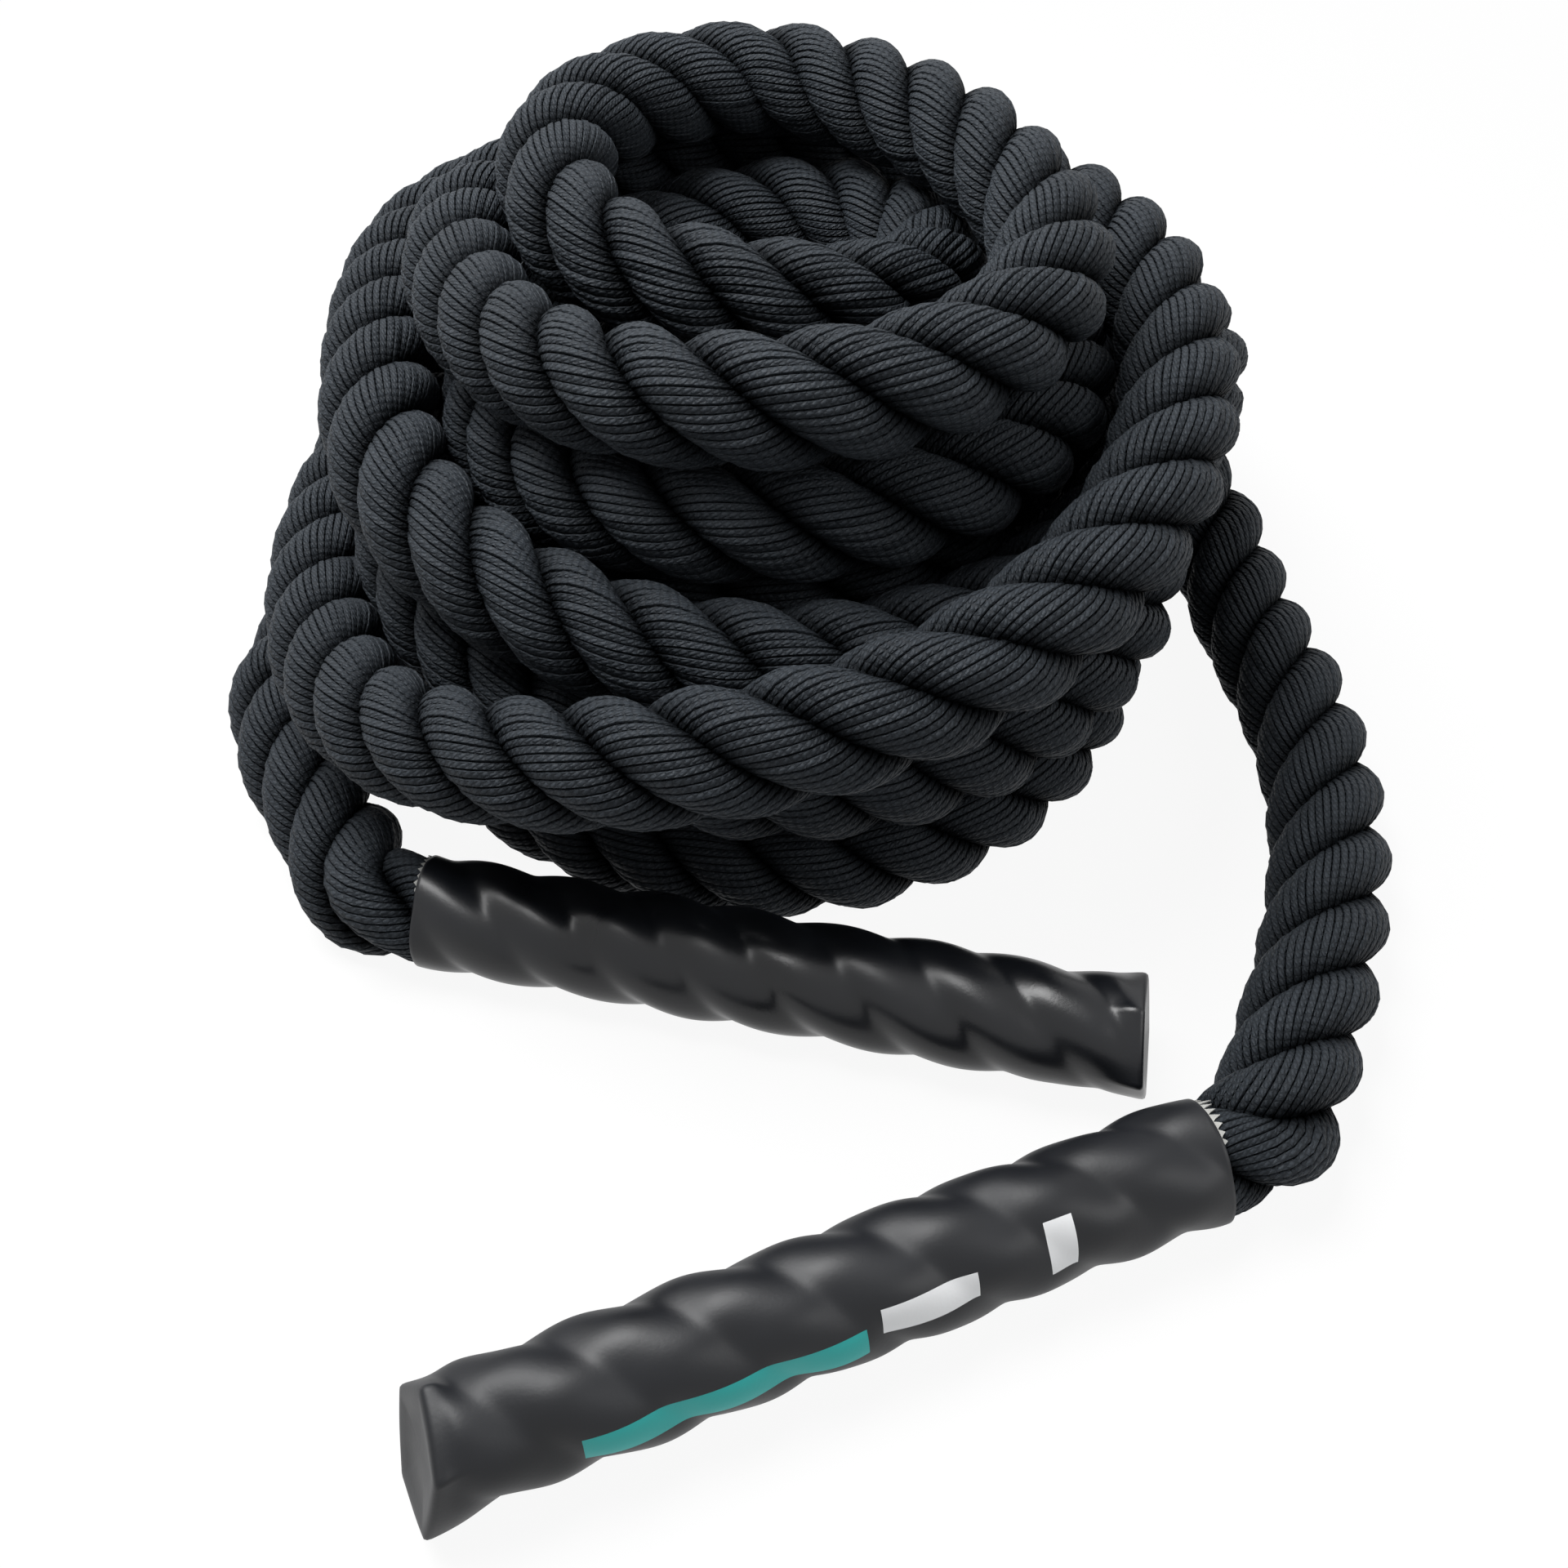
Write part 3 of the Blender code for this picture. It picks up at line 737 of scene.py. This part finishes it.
def object_noise(group, **settings):
    """A noise over an object's own places."""
    place = group.nodes.new("ShaderNodeTexCoord")
    noise = node(group, "ShaderNodeTexNoise", **settings)
    group.links.new(place.outputs["Object"], noise.inputs["Vector"])
    return noise


def fibre_relief():
    """Filaments braided over each yarn: their height, the yarn's back, and slow patches."""
    known = bpy.data.node_groups.get("Fibre Relief")
    if known:
        return known
    group, given, result = group_with(
        "Fibre Relief",
        {"Places": None, "Filaments": 2.0, "Stitches": 2.5, "Ruffle": 0.9},
        ("Height", "Back", "Patches"),
    )
    split = node(group, "ShaderNodeSeparateXYZ")
    group.links.new(given.outputs["Places"], split.inputs[0])
    round_it, along = split.outputs[0], split.outputs[1]
    ruffle = object_noise(group, Scale=520.0, Detail=2.0, Roughness=0.6)
    patch = object_noise(group, Scale=26.0, Detail=2.0, Roughness=0.5)
    ruffled = maths(group, "MULTIPLY", ruffle.outputs[0], given.outputs["Ruffle"])
    across = maths(group, "MULTIPLY", round_it, given.outputs["Filaments"])
    stitch = maths(group, "MULTIPLY", along, given.outputs["Stitches"])
    stitch = maths(group, "ADD", stitch, ruffled)

    def ridges(operation):
        """Filaments that slant to one side of a yarn."""
        slanted = maths(group, operation, stitch, across)
        return maths(group, "SINE", maths(group, "MULTIPLY", slanted, math.pi))

    braid = maths(group, "ABSOLUTE", maths(group, "MULTIPLY", ridges("ADD"), ridges("SUBTRACT")))
    back = maths(group, "SINE", maths(group, "MULTIPLY", maths(group, "FRACT", round_it), math.pi))
    rough = maths(group, "MULTIPLY", braid, maths(group, "ADD", ruffle.outputs[0], 0.35))
    group.links.new(rough, result.inputs["Height"])
    group.links.new(back, result.inputs["Back"])
    group.links.new(patch.outputs[0], result.inputs["Patches"])
    return group


def soft_unevenness():
    """Slow patches and fine grain over a moulded or shrunk skin: a mask and a height."""
    known = bpy.data.node_groups.get("Soft Unevenness")
    if known:
        return known
    group, given, result = group_with(
        "Soft Unevenness",
        {"Patch Scale": 30.0, "Grain Scale": 900.0},
        ("Patches", "Grain"),
    )
    for socket, scale, detail in (("Patches", "Patch Scale", 3.0), ("Grain", "Grain Scale", 1.0)):
        noise = object_noise(group, Detail=detail)
        group.links.new(given.outputs[scale], noise.inputs["Scale"])
        group.links.new(noise.outputs[0], result.inputs[socket])
    return group


def principled(name):
    """A new material; returns it with its tree and its Principled shader."""
    made = bpy.data.materials.new(name)
    made.use_nodes = True
    return made, made.node_tree, made.node_tree.nodes["Principled BSDF"]


def mixed(tree, factor, first, second):
    """A colour mix; returns its output."""
    made = node(tree, "ShaderNodeMix", data_type="RGBA")
    sockets = made.inputs[0], made.inputs[6], made.inputs[7]
    for socket, value in zip(sockets, (factor, first, second)):
        if isinstance(value, bpy.types.NodeSocket):
            tree.links.new(value, socket)
        elif isinstance(value, float):
            socket.default_value = value
        else:
            socket.default_value = (*value, 1.0)
    return made.outputs[2]


def stretched(tree, value, low, high, to_low=0.0, to_high=1.0):
    """A value read between two others and spread over a new range; returns its output."""
    made = tree.nodes.new("ShaderNodeMapRange")
    tree.links.new(value, made.inputs[0])
    for socket, number in zip(made.inputs[1:5], (low, high, to_low, to_high)):
        socket.default_value = number
    return made.outputs[0]


def bumped(tree, shader, height, strength, distance):
    """Give a shader a bumpy skin."""
    raised = node(tree, "ShaderNodeBump", Strength=strength, Distance=distance)
    tree.links.new(height, raised.inputs["Height"])
    tree.links.new(raised.outputs[0], shader.inputs["Normal"])


def yarn_material(name, sizes, bump, roughness):
    """Spun filament yarn: painted shade in its grooves and creases, painted highlights on its
    filaments.
    """
    colour = tuple(sizes.colour)
    made, tree, shader = principled(name)
    places = node(tree, "ShaderNodeUVMap", uv_map=FIBRE_MAP)
    openness = node(tree, "ShaderNodeAttribute", attribute_name=CREASE_SHADE_MASK)
    relief = node(tree, "ShaderNodeGroup", node_tree=fibre_relief())
    tree.links.new(places.outputs[0], relief.inputs["Places"])
    height, patches = relief.outputs["Height"], relief.outputs["Patches"]
    # Painted shade in the grooves between yarns, painted highlights on the raised braided
    # filaments, and random lighter patches
    back = stretched(tree, relief.outputs["Back"], 0.10, 0.55)
    lit = maths(tree, "MULTIPLY", back, stretched(tree, height, 0.0, 0.65, 0.50, 1.0))
    lit = maths(tree, "MULTIPLY", lit, stretched(tree, patches, 0.3, 0.7, 0.8, 1.0))
    tone = mixed(tree, lit, colour, tuple(sizes.lit_filament_colour))
    # Painted shade in the creases between strands: the colour there falls to 6%
    dark = tuple(0.06 * channel for channel in colour)
    tone = mixed(tree, openness.outputs["Fac"], dark, tone)
    tree.links.new(tone, shader.inputs["Base Color"])
    rough = stretched(tree, height, 0.0, 1.0, roughness + 0.12, roughness)
    tree.links.new(rough, shader.inputs["Roughness"])
    bumped(tree, shader, height, bump, 0.5 * MILLIMETRE)
    shine = maths(tree, "MULTIPLY", maths(tree, "MULTIPLY", back, openness.outputs["Fac"]), 0.12)
    tree.links.new(shine, shader.inputs["Specular IOR Level"])
    return made


def sleeve_material(name, sizes, printed, smooth, rough, shine):
    """Black shrink tube with a satin shine; the near grip's also carries plain printed bars."""
    made, tree, shader = principled(name)
    uneven = node(
        tree, "ShaderNodeGroup", node_tree=soft_unevenness(), Patch_Scale=34.0, Grain_Scale=700.0
    )
    dark = tuple(sizes.sleeve_colour)
    light = tuple(1.35 * tone for tone in dark)
    tone = mixed(tree, stretched(tree, uneven.outputs["Patches"], 0.35, 0.65), dark, light)
    roughness = stretched(tree, uneven.outputs["Patches"], 0.3, 0.7, smooth, rough)
    if printed:
        places = node(tree, "ShaderNodeUVMap", uv_map=FIBRE_MAP)
        split = node(tree, "ShaderNodeSeparateXYZ")
        tree.links.new(places.outputs[0], split.inputs[0])
        for colour, middle, half in PRINTED_BARS:
            inside = None
            for socket, centre, reach in zip(split.outputs, middle, half):
                off = maths(tree, "ABSOLUTE", maths(tree, "SUBTRACT", socket, centre))
                within = maths(tree, "LESS_THAN", off, reach)
                inside = within if inside is None else maths(tree, "MULTIPLY", inside, within)
            tone = mixed(tree, inside, tone, tuple(getattr(sizes, colour)))
    tree.links.new(tone, shader.inputs["Base Color"])
    tree.links.new(roughness, shader.inputs["Roughness"])
    shader.inputs["Specular IOR Level"].default_value = shine
    bumped(tree, shader, uneven.outputs["Grain"], 0.12, 0.3 * MILLIMETRE)
    return made


# ---------------------------------------------------------------- operators


class BATTLEROPE_OT_camera(bpy.types.Operator):
    """Set the camera up in front of the pile"""

    bl_idname = "battlerope.camera"
    bl_label = "Camera"

    def execute(self, context):
        sizes = context.scene.battlerope_stage
        camera = bpy.data.cameras.new("camera")
        camera.lens = sizes.lens
        camera.sensor_width = 36.0
        camera.clip_start = 0.01
        view = placed_object("camera", camera)
        right, back = PILE_MIDDLE
        view.location = (right, back - sizes.camera_distance, sizes.camera_height)
        view.rotation_euler = (math.pi / 2 - sizes.camera_pitch, 0.0, 0.0)
        context.scene.camera = view
        return {"FINISHED"}


class BATTLEROPE_OT_rope(bpy.types.Operator):
    """Lay the rope strand by strand, in lengths that meet end to end"""

    bl_idname = "battlerope.rope"
    bl_label = "Rope"

    def execute(self, context):
        sizes = context.scene.battlerope_rope
        look = yarn_material("rope_polyester", sizes, bump=1.0, roughness=0.50)
        line, way, near_mouth, far_mouth = rope_line(ring_step(sizes))
        first, last = np.searchsorted(way, (near_mouth + NECK_LENGTH, far_mouth - NECK_LENGTH))
        cuts = [int(round(first + (last - first) * share)) for share in LENGTH_SHARES]
        for number, (start, stop) in enumerate(zip(cuts[:-1], cuts[1:]), 1):
            name = "rope_length_%d" % number
            piece = rope_piece(name, sizes, start, stop, look, rows_on_map=4)
            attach(piece, BODY)
            nodes = ["rope_coil"]
            if number == 1:
                nodes.append("rope_tail_near")
            if number == len(cuts) - 1:
                nodes.append("rope_tail_far")
            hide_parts(*nodes)
            path = line[start:stop + 1:2]
            if (stop - start) % 2:
                path = np.vstack([path, line[stop]])
        return {"FINISHED"}


class BATTLEROPE_OT_bound_ends(bpy.types.Operator):
    """Run the rope's bound ends into the grips"""

    bl_idname = "battlerope.bound_ends"
    bl_label = "Bound ends"

    def execute(self, context):
        sizes = context.scene.battlerope_rope
        look = yarn_material("bound_rope_polyester", sizes, bump=0.7, roughness=0.64)
        _, way, near_mouth, far_mouth = rope_line(ring_step(sizes))
        first, last = np.searchsorted(way, (near_mouth + NECK_LENGTH, far_mouth - NECK_LENGTH))
        for side, start, stop in (("near", 0, first), ("far", last, len(way) - 1)):
            piece = rope_piece("bound_end_" + side, sizes, int(start), int(stop), look)
            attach(piece, BODY)
            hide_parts("rope_end_" + side)
        return {"FINISHED"}


def grip_places(side, angle):
    """A grip's mouth, its axis, the directions out of it at angles and its strands' turn."""
    sizes = bpy.context.scene.battlerope_rope
    line, way, near_mouth, far_mouth = rope_line(ring_step(sizes))
    _, across, up = carried_frames(line)
    row = int(np.searchsorted(way, near_mouth if side == "near" else far_mouth))
    grip = grip_frames()[side]
    mouth = np.array(grip.translation) + (*PILE_MIDDLE, 0.0)
    outward = np.cos(angle)[:, None] * across[row] + np.sin(angle)[:, None] * up[row]
    sense = -1.0 if side == "near" else 1.0

    def turn(place):
        """The strands' turn at a place along the grip, from the mouth."""
        return sizes.phase + 2 * math.pi * (way[row] + sense * place) / LAY_LENGTH

    return mouth, np.array(grip_axis(grip)), outward, turn


def lobed(angle, crest, offset):
    """The reach of a skin drawn over three lobes, its creases softened."""
    lobe = crest - offset
    reaches = [
        offset * np.cos(angle - shift) + np.sqrt(lobe ** 2 - (offset * np.sin(angle - shift)) ** 2)
        for shift in np.arange(STRANDS) * 2 * math.pi / STRANDS
    ]
    blended = np.log(sum(np.exp((reach - crest) / CREASE_SOFTNESS) for reach in reaches))
    return CREASE_SOFTNESS * blended + crest


def many_sided(angle, sides, turn):
    """The reach of a polygon of radius one with softened corners."""
    step = 2 * math.pi / sides
    off = np.mod(angle + turn, step) - step / 2
    return END_ROUNDNESS + (1 - END_ROUNDNESS) * math.cos(step / 2) / np.cos(off)


class BATTLEROPE_OT_sleeves(bpy.types.Operator):
    """Draw the shrunk sleeves over the bound ends"""

    bl_idname = "battlerope.sleeves"
    bl_label = "Sleeves"

    def execute(self, context):
        sizes = context.scene.battlerope_grips
        looks = {
            "near": sleeve_material(
                "sleeve_shrink_tube_striped",
                sizes,
                printed=True,
                smooth=0.40,
                rough=0.52,
                shine=0.34,
            ),
            "far": sleeve_material(
                "sleeve_shrink_tube", sizes, printed=False, smooth=0.26, rough=0.38, shine=0.40
            ),
        }
        sides = 120
        step = 1.4 * MILLIMETRE
        angle = np.arange(sides) * 2 * math.pi / sides
        for side in ("near", "far"):
            mouth, axis, outward, turn_at = grip_places(side, angle)
            seed, lean = SLEEVE_LEANS[side]
            rings = [(depth, -sizes.wall * walls, 1.0) for depth, walls in MOUTH_RINGS]
            places = np.arange(0.0, GRIP_LENGTH - LAST_RING, step)
            rings.extend((place, 0.0, 1.0) for place in places)
            rings.extend((GRIP_LENGTH - before, -inset, 1.0) for before, inset in EDGE_RINGS)
            rings.extend((GRIP_LENGTH - dish, -DISH_INSET, share) for share, dish in DISH_RINGS)
            grid = np.empty((len(rings), sides, 3))
            for row, (place, shift, share) in enumerate(rings):
                over_rope = lobed(angle - turn_at(place), sizes.crest_radius, sizes.lobe_offset)
                for height, turns, rate, shift_share in DRAPE_WAVES:
                    wave = np.sin(turns * angle + place * rate + shift_share * seed)
                    over_rope = over_rope + height * wave
                end = sizes.flare_radius * many_sided(angle, END_CORNERS, END_TURN + seed)
                end = end + END_WAVE * np.sin(3 * angle + seed)
                from_flare = place - GRIP_LENGTH + sizes.flare_length
                opened = eased(from_flare / sizes.flare_length) ** FLARE_CURVE
                from_waist = place - GRIP_LENGTH + WAIST_PLACE * sizes.flare_length
                waist = WAIST_DEPTH * math.exp(-(from_waist / WAIST_LENGTH) ** 2)
                reach = (over_rope * (1 - opened) + end * opened - waist + shift) * share
                set_back = place - opened * lean * (outward[:, 2] * reach + LEAN_OFFSET)
                grid[row] = mouth + axis * set_back[:, None] + reach[:, None] * outward
            skin = rested(grid, SLEEVE_PRESS)
            piece = skinned("grip_sleeve_" + side, [skin], (1 / sides, step), looks[side])
            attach(piece, BODY)
            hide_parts("handle_sleeve_" + side)
        return {"FINISHED"}


class BATTLEROPE_OT_tapes(bpy.types.Operator):
    """Wind the frayed tape at the sleeves' mouths"""

    bl_idname = "battlerope.tapes"
    bl_label = "Tape"

    def execute(self, context):
        sizes = context.scene.battlerope_grips
        rope = context.scene.battlerope_rope
        made, tree, shader = principled("tape_pale_fibre")
        uneven = node(tree, "ShaderNodeGroup", node_tree=soft_unevenness(), Patch_Scale=260.0)
        pale = tuple(sizes.tape_colour)
        shaded = tuple(0.72 * channel for channel in pale)
        tone = mixed(tree, stretched(tree, uneven.outputs["Patches"], 0.35, 0.7), shaded, pale)
        tree.links.new(tone, shader.inputs["Base Color"])
        shader.inputs["Roughness"].default_value = 0.7
        points = len(TOOTH_SHARES)
        sides = TAPE_TEETH * points
        angle = np.arange(sides) * 2 * math.pi / sides
        rng = np.random.default_rng(7)
        for side in ("near", "far"):
            mouth, axis, outward, turn_at = grip_places(side, angle)
            spread = rng.uniform(0.0, 1.0, TAPE_TEETH) ** TOOTH_CURVE
            lengths = SHORTEST_TOOTH + (1 - SHORTEST_TOOTH) * spread
            inside, fray_share = TAPE_INSIDE[side]
            frayed = eased((outward @ FRAYED_SIDE - FRAYED_FROM) / FRAYED_OVER)
            fray = np.repeat(lengths, points) * np.tile(TOOTH_SHARES, TAPE_TEETH)
            fray = fray * frayed * sizes.fray * fray_share
            edge = TAPE_EDGE - inside * (1 - frayed)
            grid = []
            for skin, parts in zip(TAPE_SKINS, ((0.0, 0.5, 1.0), (1.0, 0.5, 0.0))):
                for part in parts:
                    place = TAPE_START * (1 - part) - part * (edge + fray)
                    widened = eased(-place / (RUN_IN_SHARE * ROPE_DIAMETER))
                    share = rope.grip_squeeze + (1 - rope.grip_squeeze) * widened
                    hull = lobed(angle - turn_at(place), rope.diameter / 2, sizes.lobe_offset)
                    reach = (hull * share + skin)[:, None]
                    grid.append(mouth + axis * place[:, None] + reach * outward)
            scale = (1 / sides, 2 * MILLIMETRE)
            piece = skinned("mouth_tape_" + side, [np.array(grid)], scale, made, bridged=True)
            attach(piece, BODY)
            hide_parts("binding_tape_" + side)
        return {"FINISHED"}


class BATTLEROPE_OT_stage(bpy.types.Operator):
    """Put down the pale floor and the soft studio lamps"""

    bl_idname = "battlerope.stage"
    bl_label = "Stage"

    def execute(self, context):
        sizes = context.scene.battlerope_stage
        floor_mesh = bpy.data.meshes.new("floor")
        body = bmesh.new()
        bmesh.ops.create_grid(body, x_segments=1, y_segments=1, size=sizes.floor_size / 2)
        body.to_mesh(floor_mesh)
        body.free()
        floor = placed_object("floor", floor_mesh)
        made, tree, shader = principled("pale_floor")
        shader.inputs["Base Color"].default_value = (*sizes.floor_colour, 1.0)
        shader.inputs["Roughness"].default_value = 0.9
        white = node(tree, "ShaderNodeEmission", Strength=1.0)
        place = tree.nodes.new("ShaderNodeTexCoord")
        away = node(tree, "ShaderNodeVectorMath", operation="LENGTH")
        tree.links.new(place.outputs["Object"], away.inputs[0])
        reach = sizes.shadow_reach
        plain = stretched(tree, away.outputs["Value"], reach, 2 * reach, sizes.floor_white, 1.0)
        share = maths(tree, "MULTIPLY", self.seen_white(tree), plain)
        self.blended(tree, share, shader, white, "Material Output")
        floor_mesh.materials.append(made)

        world = bpy.data.worlds.new("studio")
        context.scene.world = world
        world.use_nodes = True
        tree = world.node_tree
        light = tree.nodes["Background"]
        light.inputs["Strength"].default_value = sizes.ambient
        light.inputs["Color"].default_value = (0.97, 0.985, 1.0, 1.0)
        backdrop = node(tree, "ShaderNodeBackground", Color=(1.0, 1.0, 1.0, 1.0))
        self.blended(tree, self.seen_white(tree), light, backdrop, "World Output")

        self.lamp("key", (-0.52, 0.30, 1.45), 1.0, sizes.key_power)
        self.lamp("fill", (1.35, -0.6, 1.1), 0.9, sizes.fill_power)
        context.scene.view_settings.view_transform = "Standard"
        return {"FINISHED"}

    @staticmethod
    def blended(tree, share, first, second, output):
        """Show a blend of two shaders."""
        both = tree.nodes.new("ShaderNodeMixShader")
        for socket, source in zip(both.inputs, (share, first.outputs[0], second.outputs[0])):
            tree.links.new(source, socket)
        tree.links.new(both.outputs[0], tree.nodes[output].inputs["Surface"])

    @staticmethod
    def seen_white(tree):
        """1 for a ray from the camera, off a shine or through glass."""
        rays = tree.nodes.new("ShaderNodeLightPath").outputs
        straight = maths(tree, "MAXIMUM", rays["Is Camera Ray"], rays["Is Glossy Ray"])
        return maths(tree, "MAXIMUM", straight, rays["Is Transmission Ray"])

    @staticmethod
    def lamp(name, place, size, power):
        """A soft square lamp that looks at the pile."""
        light = bpy.data.lights.new(name, "AREA")
        light.size = size
        light.energy = power
        lamp = placed_object(name, light)
        lamp.location = place
        towards = Vector((0.0, 0.0, 0.08)) - Vector(place)
        lamp.rotation_euler = towards.to_track_quat("-Z", "Y").to_euler()


class BATTLEROPE_PT_panel(bpy.types.Panel):
    """The battle rope's pieces, in the order in which they are made"""

    bl_idname = "BATTLEROPE_PT_panel"
    bl_label = "Battle Rope"
    bl_space_type = "VIEW_3D"
    bl_region_type = "UI"
    bl_category = "Battle Rope"

    def draw(self, context):
        for operator in OPERATORS:
            self.layout.operator(operator.bl_idname)
        for name in SETTINGS:
            sizes = getattr(context.scene, name)
            box = self.layout.box()
            for size in sizes.__annotations__:
                box.prop(sizes, size)


OPERATORS = (
    BATTLEROPE_OT_camera,
    BATTLEROPE_OT_rope,
    BATTLEROPE_OT_bound_ends,
    BATTLEROPE_OT_sleeves,
    BATTLEROPE_OT_tapes,
    BATTLEROPE_OT_stage,
)
SETTINGS = {
    "battlerope_rope": RopeSizes,
    "battlerope_grips": GripSizes,
    "battlerope_stage": StageSizes,
}


def register():
    for group in SETTINGS.values():
        bpy.utils.register_class(group)
    for name, group in SETTINGS.items():
        setattr(bpy.types.Scene, name, PointerProperty(type=group))
    for operator in OPERATORS:
        bpy.utils.register_class(operator)
    bpy.utils.register_class(BATTLEROPE_PT_panel)


def unregister():
    bpy.utils.unregister_class(BATTLEROPE_PT_panel)
    for operator in reversed(OPERATORS):
        bpy.utils.unregister_class(operator)
    for name, group in SETTINGS.items():
        delattr(bpy.types.Scene, name)
        bpy.utils.unregister_class(group)


def main():
    register()
    bpy.ops.battlerope.camera()
    bpy.ops.battlerope.rope()
    bpy.ops.battlerope.bound_ends()
    bpy.ops.battlerope.sleeves()
    bpy.ops.battlerope.tapes()
    bpy.ops.battlerope.stage()


if __name__ == "__main__":
    main()
